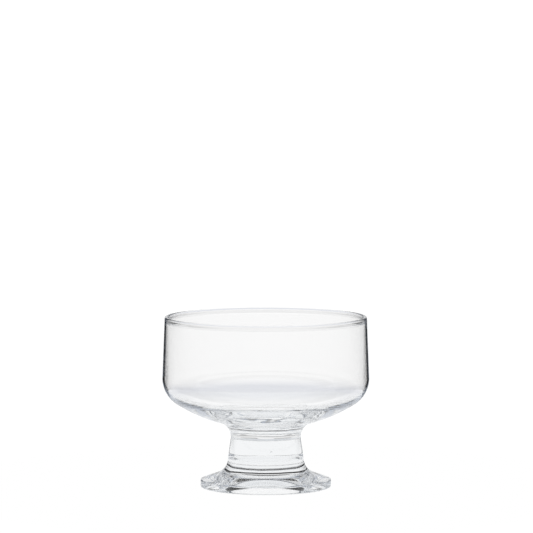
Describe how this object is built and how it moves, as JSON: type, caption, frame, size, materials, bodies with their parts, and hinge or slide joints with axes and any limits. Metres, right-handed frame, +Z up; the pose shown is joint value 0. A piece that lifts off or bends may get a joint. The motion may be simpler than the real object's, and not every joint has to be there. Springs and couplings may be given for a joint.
{
  "type": "sundae dish",
  "caption": "Footed clear-glass sundae dish: a wide, thin, nearly straight-sided bowl on a short thick stem and a flat disc foot, for ice cream or dessert.",
  "frame": {"origin": "centre of the foot's standing ring, on the table", "axes": "+Z up along the dish's axis of revolution, from the foot to the rim; +X and +Y are any two level directions"},
  "size_m": [0.097, 0.097, 0.08],
  "materials": {
    "clear_glass": "clear soda-lime glass, fire-polished"
  },
  "bodies": {
    "root": {"bowl": "clear_glass", "stem": "clear_glass", "foot": "clear_glass"}
  },
  "joints": []
}
